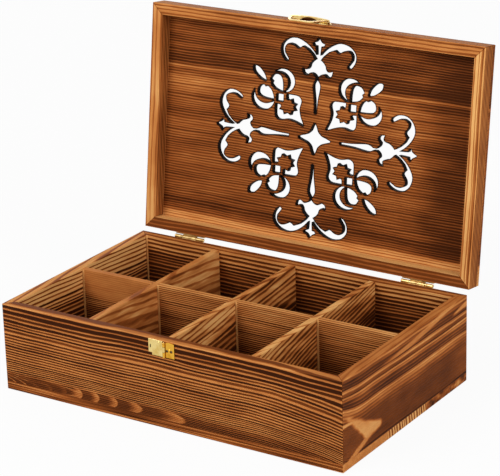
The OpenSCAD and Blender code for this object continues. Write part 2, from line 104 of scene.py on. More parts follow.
# %% A recipe is a node tree written as expressions
class Recipe:
    """A node tree whose nodes are all made by one method."""

    def __init__(self, tree):
        self.tree = tree
        tree.nodes.clear()

    def node(self, kind, settings, inputs, output=0):
        node = self.tree.nodes.new(kind)
        for key, setting in settings.items():
            if key == "stops":
                self.set_stops(node.color_ramp, setting)
            else:
                setattr(node, key, setting)
        for key, given in inputs.items():
            if isinstance(given, Wire):
                self.tree.links.new(given.socket, node.inputs[key])
            else:
                node.inputs[key].default_value = given
        return Wire(self, node.outputs[output]) if node.outputs else None

    def set_stops(self, ramp, stops):
        while len(ramp.elements) < len(stops):
            ramp.elements.new(0.5)
        for element, (position, color) in zip(ramp.elements, stops):
            element.position = position
            element.color = color

    def math(self, operation, *inputs):
        return self.node("ShaderNodeMath", {"operation": operation}, dict(enumerate(inputs)))

    def rise(self, wire, low, high):
        """0 below low, 1 above high, with a soft step between."""
        return self.node("ShaderNodeMapRange", {"interpolation_type": "SMOOTHSTEP"},
                         {"Value": wire, "From Min": low, "From Max": high})

    def fall(self, wire, low, high):
        """1 below low, 0 above high, with a soft step between."""
        return 1.0 - self.rise(wire, low, high)

    def facing(self, component, start=0.5):
        """1 where this component of the normal is near 1, so where the surface faces that way."""
        return self.rise(component, start, 0.9)

    def blend(self, share, low, high):
        """From the number low, where share is 0, to the number high, where it is 1."""
        return low * (1.0 - share) + share * high

    def mix(self, share, low, high):
        """From the colour low to the colour high."""
        return self.node("ShaderNodeMix", {"data_type": "RGBA"}, {0: share, 6: low, 7: high}, 2)

    def noise(self, x, y, z, detail=2.0, roughness=0.5):
        """A cloudy pattern between 0 and 1, in steps of about one unit."""
        place = self.node("ShaderNodeCombineXYZ", {}, {0: x, 1: y, 2: z})
        return self.node("ShaderNodeTexNoise", {}, {"Vector": place, "Scale": 1.0, "Detail": detail,
                                                    "Roughness": roughness})

    def wobble(self, x, y, z, detail=2.0, roughness=0.5):
        """The same pattern around 0."""
        return self.noise(x, y, z, detail, roughness) - 0.5

    def bump(self, height, distance, strength):
        return self.node("ShaderNodeBump", {}, {"Height": height, "Distance": distance, "Strength": strength})

    def xyz(self, vector):
        x = self.node("ShaderNodeSeparateXYZ", {}, {0: vector}, "X")
        return x, x.output("Y"), x.output("Z")


print("a recipe has", len([name for name in dir(Recipe) if not name.startswith("_")]), "methods")


# %% Materials and colours
def new_finish(name):
    """A new material and the recipe of its node tree."""
    material = bpy.data.materials.new(name)
    material.use_nodes = True
    return material, Recipe(material.node_tree)


def finish_with(f, sockets):
    """Ends a recipe with a Principled shader that has these sockets."""
    shader = f.node("ShaderNodeBsdfPrincipled", {}, sockets)
    f.node("ShaderNodeOutputMaterial", {}, {"Surface": shader})


def tone(red, green, blue):
    """A colour picked on a 0 to 255 screen scale, as Blender's linear colour."""
    def linear(c):
        c = c / 255
        return c / 12.92 if c <= 0.04045 else ((c + 0.055) / 1.055) ** 2.4
    return (linear(red), linear(green), linear(blue), 1.0)


def dress(name, material):
    """Puts a material on a node of the frame."""
    slots = nodes[name].data.materials
    slots.clear()
    slots.append(material)


print("mid wood tone is", [round(c, 3) for c in tone(150, 90, 42)])

# %% [markdown]
# ## The sizes that the patterns follow
# The lighter outer edges have to follow the outside of the box, and a bare strip has to stand beside a
# divider. These places could be typed in again, but then they would go wrong as soon as the
# box changed, so they are measured on the frame's own boards. Where a band or a figure of the
# grain lies is this wood's own accident, so those places are typed with the board they are on.

# %% Measure the boards
MM = 1000.0
AXES = "xyz"
LOW, HIGH = 0, 1


def reach(name, axis, end):
    """Where a board starts (LOW) or stops (HIGH) along an axis, in millimetres."""
    return round(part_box(name)[end][AXES.index(axis)] * MM, 2)


HALF_W = reach("right_wall", "x", HIGH)
HALF_D = reach("rear_wall", "y", HIGH)
RIM = reach("rear_wall", "z", HIGH)
WALL = HALF_D - reach("rear_wall", "y", LOW)
BOTTOM = reach("bottom_board", "z", HIGH)
DIVIDER = reach("cross_divider_middle", "x", HIGH) - reach("cross_divider_middle", "x", LOW)
COLUMN = (2 * HALF_W - 2 * WALL + DIVIDER) / 4
print("half width", HALF_W, "half depth", HALF_D, "rim", RIM, "wall", WALL, "column", COLUMN)

# %% [markdown]
# ## Where a point lies in its board
# Wood is a solid texture: the same growth rings make the lines on a board's face and the comb
# on its end. A flat picture on each face would break at the edges, so the finish works with
# the point itself, in millimetres. The lid is stored open, and its boards first turn the point
# back to where it lies when the lid is shut, so that their patterns can be written upright.

# %% Board coordinates
hinge = next(joint for joint in frame["joints"] if joint["name"] == "lid_hinge")
lid_axis = Vector(hinge["pos_m"])
lid_open = math.radians(hinge["range_deg"][1])
lid_shut = Matrix.Translation(lid_axis) @ Matrix.Rotation(lid_open, 4, "X") @ Matrix.Translation(-lid_axis)
PANEL_UNDER = round(min((lid_shut @ v.co).z for v in nodes["lid_panel"].data.vertices) * MM, 2)


def spot_on(f, on_lid):
    """x, y and z of the surface in millimetres and its normal, with the lid shut."""
    turn = (lid_open if on_lid else 0.0, 0.0, 0.0)
    shift = lid_shut.translation * MM if on_lid else Vector((0.0, 0.0, 0.0))
    point = f.node("ShaderNodeTexCoord", {}, {}, "Object")
    point = f.node("ShaderNodeMapping", {}, {"Vector": point, "Location": shift, "Rotation": turn,
                                             "Scale": (MM, MM, MM)})
    normal = f.node("ShaderNodeTexCoord", {}, {}, "Normal")
    normal = f.node("ShaderNodeMapping", {"vector_type": "NORMAL"}, {"Vector": normal, "Rotation": turn})
    x, y, z = f.xyz(point)
    return SimpleNamespace(x=x, y=y, z=z, normal=f.xyz(normal))


print("the lid opens", round(math.degrees(lid_open), 1), "degrees; shut, its panel lies at", PANEL_UNDER)

# %% [markdown]
# ## Torched pine
# Pine has soft pale wood that grows in spring and hard dark wood that grows in summer. The
# torch chars the soft wood, the brush takes the loose char away, and the oil deepens what is
# left. One number, the burn, stands for all of this: 0 is bare tan wood and 1 is char, and a
# single ramp of tones turns it into colour. Each board has its own entries in a small list of
# what the saw and the torch did to it.

# %% The tones of the burn and the facts of a board
TORCH_TONES = [(0.0, (230, 174, 106)), (0.2, (202, 130, 68)), (0.42, (160, 88, 39)), (0.62, (115, 59, 24)),
               (0.8, (78, 38, 14)), (0.9, (56, 26, 10)), (1.0, (14, 8, 5))]


@dataclass
class Board:
    """How one board was sawn and burnt; lengths are in millimetres."""
    grain: str                # the axis along the grain
    across: str               # the axis across the growth rings on the main face
    seed: float               # which part of the log the board comes from
    pitch: float = 3.0        # distance between growth lines
    widen: float = 0.0        # how much that distance grows with each line
    face: float = 0.0         # where the main face lies
    lean: float = 0.0         # rise of the rings along the grain
    tilt: float = 0.4         # slant of the rings through the board
    droop: tuple = None       # where the rings start to bend towards one end, and how strongly
    wander: float = 4.0       # how far the rings stray
    burn: float = 0.5         # burn of a board without bands
    bands: list = None        # places across the board and the burn at each
    blotch: float = 0.3       # how uneven the burn is
    contrast: float = 0.5     # how much darker a growth line is than the wood beside it
    rim: tuple = None         # axis and direction of the narrow face along the rim
    rim_burn: float = 0.4     # burn of that narrow face
    corners: bool = True      # whether this board is lighter along the box's outer edges
    seams: bool = False       # whether the board is mitred into its neighbours
    on_lid: bool = False      # whether the board belongs to the lid
    marks: object = None      # a function that adds this board's own figure


print(len(TORCH_TONES), "tones from bare wood to char")


# %% Growth rings
def uneven(f, board, spot, size, detail=2.0, roughness=0.5, shift=1.0):
    """A cloudy pattern around 0 of this size along, across and through the board."""
    u, v, w = spot.along
    long, high, deep = size
    return f.wobble(u / long + board.seed * shift, v / high, w / deep, detail, roughness)


def growth_rings(f, board, spot):
    """Distance across the rings, which lean, wander and may droop at one end."""
    u, v, w = spot.along
    spot.slow = uneven(f, board, spot, (110.0, 40.0, 40.0), 1.0)
    spot.quick = uneven(f, board, spot, (32.0, 11.0, 11.0))
    ring = v + u * board.lean + w * board.tilt
    ring = ring + spot.slow * board.wander + spot.quick * (board.wander * 0.3)
    if board.droop:
        start, rate = board.droop
        past = ((u - start) * math.copysign(1.0, start)).at_least(0.0)
        # The bend is weaker near the rim
        ring = ring + past * past * rate * (1.0 - f.rise(v, 48.0, 68.0) * 0.6)
    return ring


def count_years(f, board, ring):
    """The distance across the rings in years: each whole number is the sharp edge of a line."""
    if board.widen:
        grown = (ring * (board.widen / board.pitch) + 1.0).at_least(0.1)
        years = grown.math("LOGARITHM", math.e) / board.widen
    else:
        years = ring / board.pitch
    return years + f.wobble(ring / 12.0, board.seed * 1.7, 0.3, 1.0) * 1.6


print("growth rings ready")

# %% [markdown]
# The torch is moved along the board, so the burn changes in broad bands along the grain, with
# soft patches where the hand slowed down. The narrow face along the rim is burnt by itself,
# and never to char. A growth line has one sharp edge, where the winter stopped the tree, and
# one soft edge, and it is wider where the wood is burnt more.

# %% Burn and growth lines
DARKEST = 0.9


def torch_burn(f, board, spot, ring):
    """How much the torch burnt each place, with the lines' contrast and the darkest burn there."""
    patch = uneven(f, board, spot, (55.0, 13.0, 30.0), 3.0, 0.55, shift=2.0) * board.blotch
    if board.bands:
        low, high = board.bands[0][0], board.bands[-1][0]
        stops = [((place - low) / (high - low), (burn, burn, burn, 1.0)) for place, burn in board.bands]
        place = (ring - spot.along[2] * board.tilt - low) / (high - low)
        heat = patch + f.node("ShaderNodeValToRGB", {"stops": stops}, {0: place})
    else:
        heat = patch + board.burn
    if not board.rim:
        return heat, board.contrast, DARKEST
    axis, side = board.rim
    top = f.facing(spot.normal[AXES.index(axis)] * side, 0.6)
    heat = f.blend(top, heat, patch + board.rim_burn)
    return heat, top * (board.contrast * -0.35) + board.contrast, DARKEST - top * 0.26


def growth_line(f, board, years, heat):
    """1 in the dark of a growth line and 0 in the pale wood, with each year a bit different."""
    cut = years.math("FRACT")
    kind = f.wobble(years.math("FLOOR") * 0.73, board.seed * 3.1, 4.0, 0.0)
    dark = (heat + kind * 0.35 + 0.05).at_least(0.18).at_most(0.8)
    line = f.rise(cut, 0.9 - dark, 1.14 - dark) * f.fall(cut, 0.9, 1.0)
    return line * (kind * 0.8 + 0.85)


print("burn and growth lines ready")


# %% Lighter outer edges and mitred seams
def lighter_outer_edges(f, spot):
    """1 along the box's outer edges, where the board is made lighter."""
    side_gap = HALF_W - abs(spot.x)
    front_gap = HALF_D - abs(spot.y)
    top_gap = abs(RIM - spot.z)
    # An edge is where the second smallest distance to the box's faces is small
    second = side_gap.at_least(front_gap).at_most(top_gap)
    near = side_gap.at_most(front_gap).at_least(second)
    return f.fall(near + spot.quick * 0.8, 0.3, 1.3)


def mitred_seam(f, spot):
    """1 in the dark hairline where two boards meet at a corner."""
    side_gap = HALF_W - abs(spot.x)
    front_gap = HALF_D - abs(spot.y)
    return f.fall(abs(side_gap - front_gap), 0.1, 0.45)


print("edges ready")


# %% The wood finish
def torched_pine(name, board):
    """The material of one burnt, brushed and oiled board."""
    material, f = new_finish(name)
    spot = spot_on(f, board.on_lid)
    point = dict(zip(AXES, (spot.x, spot.y, spot.z)))
    through = next(axis for axis in AXES if axis not in (board.grain, board.across))
    spot.along = (point[board.grain], point[board.across], point[through] - board.face)

    ring = growth_rings(f, board, spot)
    heat, contrast, darkest = torch_burn(f, board, spot, ring)
    line = spot.line = growth_line(f, board, count_years(f, board, ring), heat)
    fibre = uneven(f, board, spot, (16.0, 0.5, 0.5), 3.0, 0.6)
    streak = uneven(f, board, spot, (50.0, 2.2, 2.2))
    burnt = (heat + (line - 0.5) * contrast + fibre * 0.24 + streak * 0.26).at_most(darkest)
    if board.marks:
        burnt = board.marks(f, spot, burnt)
    if board.corners:
        burnt = burnt - lighter_outer_edges(f, spot) * 0.1
    if board.seams:
        burnt = burnt + mitred_seam(f, spot) * 0.35

    stops = [(place, tone(*color)) for place, color in TORCH_TONES]
    finish_with(f, {
        "Base Color": f.node("ShaderNodeValToRGB", {"stops": stops}, {0: burnt}),
        "Roughness": fibre * 0.12 - line * 0.1 + 0.58,
        "Specular IOR Level": 0.02,
        "Normal": f.bump(line * 0.7 + fibre * 0.5, 0.0003, 0.55),
    })
    return material


print("wood finish ready")

# %% [markdown]
# ## The front wall
# The front has wide dark bands under the rim and fine regular lines below them. In its dark
# foot the saw met the rings nearly flat, which left the pale tips of nested arcs and one long
# arch. Rings that came out of the board's own pattern would never fall just there, so this
# figure is drawn by itself and laid over the burn.

# %% The front wall's arched figure
FOOT_TOP = 15.0
FIGURE_TIP = -87.0
FIGURE_END = 14.0
TIP_SPACING = 16.0
TIP_SPREAD = 0.000228
TIP_MIDDLE = 11.5
TIP_DROP = 5.0
TIP_HALF = 6.0
ARCH_LENGTH = 38.0
ARCH_MIDDLE = 11.2
ARCH_HALF = 4.4
ARCH_FROM = -136.0
QUIET_FROM = -146.0
QUIET_TO = -92.0


def nested_tips(f, x, z, slow):
    """Pale flashes at the tips of nested rings, lower and thinner towards the left end."""
    ahead = x - FIGURE_TIP
    left = f.fall(x, -150.0, -92.0)
    off_middle = (z - TIP_MIDDLE + left * TIP_DROP) / TIP_HALF
    wave = ahead / TIP_SPACING - ahead * ahead * TIP_SPREAD
    wave = (wave + off_middle * off_middle * (left + 0.35) + slow * 1.6).math("FRACT")
    flash = f.rise(wave, 0.4 + left * 0.25, 0.88) * f.fall(wave, 0.91, 0.99)
    # They are faint where the arch lies
    quiet = f.rise(x, QUIET_FROM, QUIET_FROM + 8.0) * f.fall(x, QUIET_TO - 8.0, QUIET_TO)
    return flash * (1.0 - quiet * 0.75)


def long_arch(f, x, z):
    """One pale line that bends back at its right tip."""
    off_middle = (z - ARCH_MIDDLE) / ARCH_HALF
    square = off_middle * off_middle
    inside = (x - FIGURE_TIP) / ARCH_LENGTH + square * square
    line = f.rise(inside, -0.3, -0.06) * f.fall(inside, -0.02, 0.05)
    return line * f.rise(x, ARCH_FROM, ARCH_FROM + 14.0)


def front_figure(f, spot, burnt):
    """The arcs and the arch in the dark foot of the front, which fade out to the right."""
    light = nested_tips(f, spot.x, spot.z, spot.slow).at_least(long_arch(f, spot.x, spot.z))
    foot = f.fall(spot.z + spot.slow * 2.0, FOOT_TOP, FOOT_TOP + 1.6)
    foot = foot * f.rise(spot.z, BOTTOM - 1.0, BOTTOM + 1.0)
    foot = foot * f.fall(spot.x, FIGURE_END, FIGURE_END + 10.0)
    return burnt * (1.0 - foot * 0.5) + foot * (0.37 - light * 0.42)


print("the arch is", ARCH_LENGTH, "mm long")

# %% The front wall
RIM_UP = ("z", 1.0)
FRONT_BANDS = [(6.0, 0.68), (8.0, 0.76), (14.5, 0.76), (17.0, 0.58), (30.0, 0.6), (40.0, 0.61),
               (50.0, 0.6), (56.0, 0.6), (60.0, 0.61), (66.0, 0.66), (71.0, 0.72), (78.0, 0.62)]
front = Board("x", "z", 3.0, pitch=1.0, widen=0.04, face=-HALF_D, tilt=0.35, droop=(70.0, 0.001),
              wander=5.0, bands=FRONT_BANDS, contrast=0.7, rim=RIM_UP, rim_burn=0.5, seams=True,
              marks=front_figure)
dress("front_wall", torched_pine("torched_front", front))
print("front wall dressed with", len(FRONT_BANDS), "bands")

# %% [markdown]
# ## The right wall
# This board was cut near the bark, so its lines are broad and wavy. A big scorched field covers
# its lower half, and a pale forked figure, shaped like a leaf on a stem, lies near the front
# corner. The leaf's outline is the rounded meeting of four straight edges: that keeps it a
# shape with corners, which a plain ellipse would not.

# %% The scorched field
FIELD_FOOT = 8.5
FIELD_TOP = 30.0
FIELD_FRONT = -50.0
FIELD_REAR = 68.0
FIELD_BURN = 0.69
JOINT_SHADOW_Z = 9.0
LINE_FROM = -84.0


def scorched_field(f, y, z, soft, cloud, burnt):
    """A calm dark field above the bottom board, with a painted shadow line under it, along the joint."""
    field = f.rise(z + soft * 4.0, FIELD_FOOT, FIELD_FOOT + 3.5)
    field = field * f.fall(z + soft * 10.0, FIELD_TOP, FIELD_TOP + 12.0)
    rear = f.rise(y + soft * 24.0, FIELD_REAR, FIELD_REAR + 30.0)
    front = f.fall(y, FIELD_FRONT - 22.0, FIELD_FRONT)
    calm = cloud * 0.3 + FIELD_BURN - rear * 0.16 - front * 0.07
    # Painted shadow: a dark line along the joint at the wall's foot
    painted_joint_shadow = f.fall(abs(z - JOINT_SHADOW_Z), 0.4, 1.4) * f.rise(y, LINE_FROM, LINE_FROM + 10.0)
    return f.blend(field * 0.85, burnt, calm) + painted_joint_shadow * 0.14


print("scorched field ready")

# %% The forked figure and the pale wedges
LEAF_TOP = (-88.0, 37.5)
LEAF_TIP = (-64.0, 14.5)
LEAF_END = -44.5
ROUNDING = 5.0
BRANCH_HEIGHT = 39.0
WEDGE_HEIGHT = 67.5
MIDDLE_WEDGE = -35.0
REAR_WEDGE = 73.0


def pale_leaf(f, y, z, soft):
    """A leaf between its top edge, its front edge, its underside and its blunt rear end."""
    top_y, top_z = LEAF_TOP
    tip_y, tip_z = LEAF_TIP
    # Distances from the four edges, which are positive outside the leaf
    top_edge = (y - top_y) * 0.384 + (z - top_z) * 0.924 - 2.6
    front_edge = -1.0 - (y - top_y) * 0.69 - (z - top_z) * 0.72
    under_edge = (y - tip_y) * 0.22 - (z - tip_z) * 0.976
    outside = top_edge.math("SMOOTH_MAX", front_edge, ROUNDING).math("SMOOTH_MAX", under_edge, ROUNDING)
    outside = outside.math("SMOOTH_MAX", y - LEAF_END, ROUNDING)
    return f.fall(outside + soft * 7.0, -1.6, 2.4)


def stem_and_branch(f, y, z, soft):
    """The stem runs down to the front corner, and the branch runs forward from the leaf's top."""
    tip_y, tip_z = LEAF_TIP
    off_stem = abs((z - tip_z - 1.0) * 0.955 - (y - tip_y) * 0.295 + soft * 4.0)
    off_branch = abs(z - BRANCH_HEIGHT + (y + HALF_D) * 0.1 + soft * 3.0)
    stem = f.fall(off_stem, 1.2, 3.2) * f.fall(y, tip_y, tip_y + 4.0) * 0.8
    return stem.at_least(f.fall(off_branch, 0.6, 2.4) * f.fall(y, -88.0, -82.0))


def pale_wedges(f, y, z, soft):
    """Two pale wedges under the rim, which get thicker towards the rear."""
    bend = y - MIDDLE_WEDGE
    middle = abs(z - WEDGE_HEIGHT - bend * bend * 0.0009) - f.rise(y, -40.0, 20.0) * 1.2
    past = y - REAR_WEDGE
    rear = abs(z - WEDGE_HEIGHT - past * 0.1 + soft * 3.0) - past * 0.1
    wedge = f.fall(middle, 0.3, 2.2) * f.rise(y, -45.0, -20.0) * 0.75
    return wedge.at_least(f.fall(rear, -0.8, 1.2) * f.rise(y, REAR_WEDGE, REAR_WEDGE + 9.0) * 0.9)


def right_figure(f, spot, burnt):
    """The scorched field, and on the outer face the leaf, its stem and the wedges."""
    y, z = spot.y, spot.z
    soft = f.wobble(y / 26.0, z / 12.0, 7.0)
    cloud = f.wobble(y / 18.0, z / 9.0, 3.0, 3.0)
    burnt = scorched_field(f, y, z, soft, cloud, burnt)
    pale = pale_leaf(f, y, z, soft).at_least(stem_and_branch(f, y, z, soft))
    pale = pale.at_least(pale_wedges(f, y, z, soft)) * f.facing(spot.normal[0])
    return f.blend(pale, burnt, cloud * 0.3 + 0.12)


print("the leaf is", round(LEAF_END - LEAF_TOP[0], 1), "mm long")

# %% The right wall
RIGHT_BANDS = [(7.0, 0.68), (28.0, 0.68), (36.0, 0.6), (42.0, 0.46), (46.0, 0.25), (47.4, 0.72), (50.0, 0.7),
               (54.0, 0.6), (57.3, 0.3), (58.4, 0.3), (59.6, 0.74), (61.0, 0.64), (63.3, 0.32), (64.6, 0.27),
               (65.8, 0.7), (70.0, 0.74), (73.0, 0.66), (75.0, 0.34), (76.4, 0.5), (78.0, 0.6)]
right = Board("y", "z", 8.0, pitch=2.6, face=HALF_W, tilt=0.6, droop=(-65.0, -0.0045), bands=RIGHT_BANDS,
              blotch=0.42, contrast=0.24, rim=RIM_UP, rim_burn=0.38, seams=True, marks=right_figure)
dress("right_wall", torched_pine("torched_right", right))
print("right wall dressed with", len(RIGHT_BANDS), "bands")

# %% [markdown]
# ## The left and rear walls, the long divider and their bare strips
# The boards were burnt loose and assembled afterwards. Where the end of one board had covered
# another, a narrow strip stayed pale, and it still shows in the corners of the compartments.
# The strips are a function that makes marks functions, because each board has other columns.

# %% Bare strips in the corners
BARE_WIDTH = 1.9
CALM_FOOT = 44.0
CALM_END = -82.0


def bare_strips(columns):
    """Marks for pale strips beside the ends of the boards that stand in these columns."""
    def marks(f, spot, burnt):
        strips = 0.0
        for column in columns:
            edge = spot.x - (column * COLUMN + DIVIDER / 2)
            strips = strips + f.rise(edge, 0.0, 0.3) * f.fall(edge, BARE_WIDTH, BARE_WIDTH + 0.6)
        strips = strips * f.facing(-spot.normal[1])
        return f.blend(strips, burnt, 0.04)
    return marks


def calm_corner(f, spot, burnt):
    """The long divider's strips, and a smooth tan field in its first compartment."""
    soft = f.wobble(spot.x / 30.0, spot.z / 14.0, 5.0)
    slanted = spot.z + soft * 16.0 + (spot.x + 120.0) * 0.1
    calm = f.rise(slanted, CALM_FOOT, CALM_FOOT + 13.0) * f.fall(spot.x, CALM_END - 2.0, CALM_END) * 0.85
    burnt = f.blend(calm, burnt, soft * 0.4 + 0.27)
    return bare_strips((-2, -1, 0, 1))(f, spot, burnt)


print("a strip stands", round(COLUMN, 2), "mm from the next")

# %% The left wall, the rear wall and the long divider
LEFT_BANDS = [(7.0, 0.88), (30.0, 0.74), (52.0, 0.56), (66.0, 0.4), (78.0, 0.34)]
REAR_BANDS = [(7.0, 0.86), (20.0, 0.78), (30.0, 0.66), (36.0, 0.78), (58.0, 0.7), (66.0, 0.52), (78.0, 0.46)]
LONG_BANDS = [(7.0, 0.86), (25.0, 0.72), (50.0, 0.6), (68.0, 0.5), (77.0, 0.46)]
left = Board("y", "z", 12.0, pitch=3.6, face=WALL - HALF_W, tilt=0.5, lean=0.05, wander=5.0,
             bands=LEFT_BANDS, contrast=0.74, rim=RIM_UP, rim_burn=0.38, seams=True)
rear = Board("x", "z", 17.0, pitch=3.4, face=HALF_D - WALL, tilt=0.5, bands=REAR_BANDS, contrast=0.64,
             rim=RIM_UP, rim_burn=0.5, seams=True, marks=bare_strips((-2,)))
long_divider = Board("x", "z", 25.0, pitch=1.8, tilt=0.5, wander=2.5, bands=LONG_BANDS, contrast=0.6,
                     rim=RIM_UP, rim_burn=0.32, corners=False, marks=calm_corner)
dress("left_wall", torched_pine("torched_left", left))
dress("rear_wall", torched_pine("torched_rear", rear))
dress("long_divider", torched_pine("torched_long_divider", long_divider))
print("left wall, rear wall and long divider dressed")

# %% [markdown]
# ## The bottom board
# Only the edges of the bottom board show from outside. Its right end is sawn across the grain,
# so the growth lines stand upright there like the teeth of a comb, and the torch has scorched
# its rear. Its front edge has fine lines along the grain.

# %% The bottom board
COMB_FRONT = -38.0
COMB_REAR = 28.0
SCORCH_FRONT = 29.0


def comb_and_edge(f, spot, burnt):
    """The comb on the ends and the fine lines on the long edges."""
    patch = f.wobble(spot.y / 9.0, spot.z / 6.0, 2.0)
    deep = f.rise(spot.y + patch * 12.0, COMB_FRONT, COMB_FRONT + 12.0)
    deep = deep * f.fall(spot.y, COMB_REAR, COMB_REAR + 5.0)
    scorched = f.rise(spot.y, SCORCH_FRONT, SCORCH_FRONT + 5.0)
    comb = 0.22 + patch * 0.3 + deep * (spot.line - 0.35) * 0.6 + scorched * (patch * 1.4 + 0.3)
    lines = f.wobble(spot.x / 90.0, spot.z / 1.1, 6.0, 1.0) * 1.6 + 0.56
    end = f.facing(abs(spot.normal[0]))
    edge = f.facing(abs(spot.normal[1]))
    return burnt * (1.0 - end - edge) + comb * end + lines * edge


bottom = Board("x", "y", 21.0, pitch=4.0, tilt=0.15, lean=0.02, wander=5.0, blotch=0.42, contrast=0.56,
               marks=comb_and_edge)
dress("bottom_board", torched_pine("torched_bottom", bottom))
print("bottom board dressed")

# %% [markdown]
# ## The cross dividers
# The three cross dividers have slanted grain and big soft patches. They could share one
# material, but their faces stand side by side, so a repeat would show at once. One list of
# bands serves all three, and each gets its own lines, its own slant and its own share of burn.

# %% The cross dividers
CROSS_BANDS = [(7.0, 0.88), (26.0, 0.72), (46.0, 0.58), (64.0, 0.46), (77.0, 0.42)]
CROSS_DIVIDERS = {
    "left": dict(seed=31.0, pitch=7.0, lean=0.1, blotch=0.9, contrast=0.34, lighter=0.12),
    "middle": dict(seed=36.0, pitch=5.2, lean=-0.12, blotch=1.2, contrast=0.48, lighter=0.02),
    "right": dict(seed=41.0, pitch=4.0, lean=-0.2, blotch=1.0, contrast=0.5, lighter=0.04),
}
for part, own in CROSS_DIVIDERS.items():
    lighter = own.pop("lighter")
    bands = [(place, burn - lighter) for place, burn in CROSS_BANDS]
    divider = Board("y", "z", tilt=0.5, wander=9.0, bands=bands, rim=RIM_UP, rim_burn=0.28,
                    corners=False, **own)
    dress("cross_divider_" + part, torched_pine("torched_divider_" + part, divider))
print(len(CROSS_DIVIDERS), "cross dividers dressed")

# %% [markdown]
# ## The lid's panel
# The panel was burnt after it was pierced, and a hot cutter made the openings, so their walls
# are black and a thin dark line follows their edges on the face. That line could be painted
# along each opening's outline, but the Ambient Occlusion node already knows where the surface
# is close to an edge when it looks inwards, so it finds all of them at once.

# %% The pierced panel
CHAR_LINE = 0.0016
PIERCED_HALF_W = 146.0
PIERCED_HALF_D = 94.0
SHADE_LEFT = 84.0
SHADE_REAR = 82.0


def charred_openings(f, spot, burnt):
    """Black walls in the rosette's openings, a thin scorched edge around them and soft shade."""
    inside = f.fall(abs(spot.x), PIERCED_HALF_W, PIERCED_HALF_W + 4.0)
    inside = inside * f.fall(abs(spot.y), PIERCED_HALF_D, PIERCED_HALF_D + 3.0)
    wall = f.fall(abs(spot.normal[2]), 0.3, 0.7) * inside
    depth = f.node("ShaderNodeAmbientOcclusion", {"inside": True, "only_local": True, "samples": 8},
                   {"Distance": CHAR_LINE}, "AO")
    edge = f.fall(depth, 0.55, 0.97) * inside
    cloud = f.wobble(spot.x / 60.0, spot.y / 26.0, 9.0)
    shade = f.rise(spot.x + cloud * 60.0, SHADE_LEFT, SHADE_LEFT + 52.0)
    shade = shade * f.fall(spot.y, SHADE_REAR, SHADE_REAR + 6.0) * 0.2 + cloud * 0.22
    return (burnt + shade * inside).at_most(0.86) + edge * 0.6 + wall * 1.2


PANEL_BANDS = [(-94.0, 0.62), (-76.0, 0.6), (-58.0, 0.66), (-51.0, 0.72), (-47.5, 0.36), (-45.0, 0.6),
               (-36.0, 0.45), (-24.0, 0.53), (-8.0, 0.58), (8.0, 0.54), (20.0, 0.57), (66.0, 0.57),
               (76.0, 0.7), (83.0, 0.58), (86.5, 0.3), (94.0, 0.24)]
panel = Board("x", "y", 44.0, pitch=2.3, face=PANEL_UNDER, wander=4.5, bands=PANEL_BANDS, blotch=0.26,
              contrast=0.32, on_lid=True, marks=charred_openings)
dress("lid_panel", torched_pine("torched_panel", panel))
print("panel dressed with", len(PANEL_BANDS), "bands")

# %% [markdown]
# ## The lid's rails
# The four rails of the lid's frame are lighter than the panel, and each catches the torch
# differently. Their narrow face is the one that rests on the rim, so it looks down when the
# lid is shut. On the right rail a brown strip runs along it before the outer edge.

# %% The rails
RIM_DOWN = ("z", -1.0)
BROWN_FROM = 160.8
BROWN_TO = 163.2


def brown_strip(f, spot, burnt):
    """The right rail's underside is pale inside, with a brown strip before its outer edge."""
    x = spot.x + spot.slow * 2.0
    under = f.facing(-spot.normal[2], 0.6)
    strip = f.rise(x, BROWN_FROM, BROWN_FROM + 0.8) - f.rise(x, BROWN_TO, BROWN_TO + 0.7) * 0.6
    return burnt + under * (strip * 0.34 - 0.12)


RAILS = {
    "front": dict(grain="x", seed=52.0, burn=0.48, rim_burn=0.42),
    "rear": dict(grain="x", seed=59.0, burn=0.22, rim_burn=0.58),
    "left": dict(grain="y", seed=66.0, burn=0.52, rim_burn=0.34),
    "right": dict(grain="y", seed=73.0, burn=0.54, rim_burn=0.32, marks=brown_strip),
}
for part, own in RAILS.items():
    rail = Board(across="z", pitch=2.6, tilt=0.7, wander=3.0, blotch=0.4, rim=RIM_DOWN, corners=False,
                 seams=True, on_lid=True, **own)
    dress("lid_" + part + "_rail", torched_pine("torched_rail_" + part, rail))
print(len(RAILS), "rails dressed")

# %% [markdown]
# ## Brass
# The fittings are stamped from thin brass and polished by tumbling, so they are bright but no
# mirrors: a faint haze, small scratches, and a dark tint in the corners that the polish never
# reached. The floor of the lens-shaped dish in the hasp's finger lip gets a painted reflection of
# the dark wood it mirrors. The dish is cut in the construction model, so this painted reflection
# only has to follow the same outline.

# %% The dish in the finger lip
LIP_LEAN = math.radians(22.0)
LIP_FOOT_UP = 4.2
LIP_FOOT_OUT = 0.4
DISH_X = -4.0
DISH_HALF = 10.25
DISH_TOP = 5.3
DISH_BOW = 4.1


def dish_floor(f):
    """1 on the floor of the dish in the hasp's finger lip, where the dark reflection is painted."""
    spot = spot_on(f, True)
    up = spot.z - RIM - LIP_FOOT_UP
    out = -HALF_D - LIP_FOOT_OUT - spot.y
    rise = out * math.cos(LIP_LEAN) - up * math.sin(LIP_LEAN)
    depth = up * -math.cos(LIP_LEAN) - out * math.sin(LIP_LEAN)
    across = (spot.x - DISH_X) / DISH_HALF
    below_bow = DISH_TOP - across * across * DISH_BOW - rise
    return f.rise(below_bow, -0.1, 0.2) * f.rise(rise, 0.9, 1.2) * f.rise(depth, 0.6, 0.75)


print("the dish is", 2 * DISH_HALF, "mm wide")

# %% The metal finish
GRIME = tone(96, 62, 22)
GRIME_REACH = 0.0015
# Painted reflection: the dark brown wood that the dish's floor mirrors
DISH_PAINTED_REFLECTION = tone(84, 46, 16)
HAZE_PER_METRE = 220.0
SCRATCHES_PER_METRE = 2500.0
SCRATCH_LENGTHS_PER_METRE = 400.0


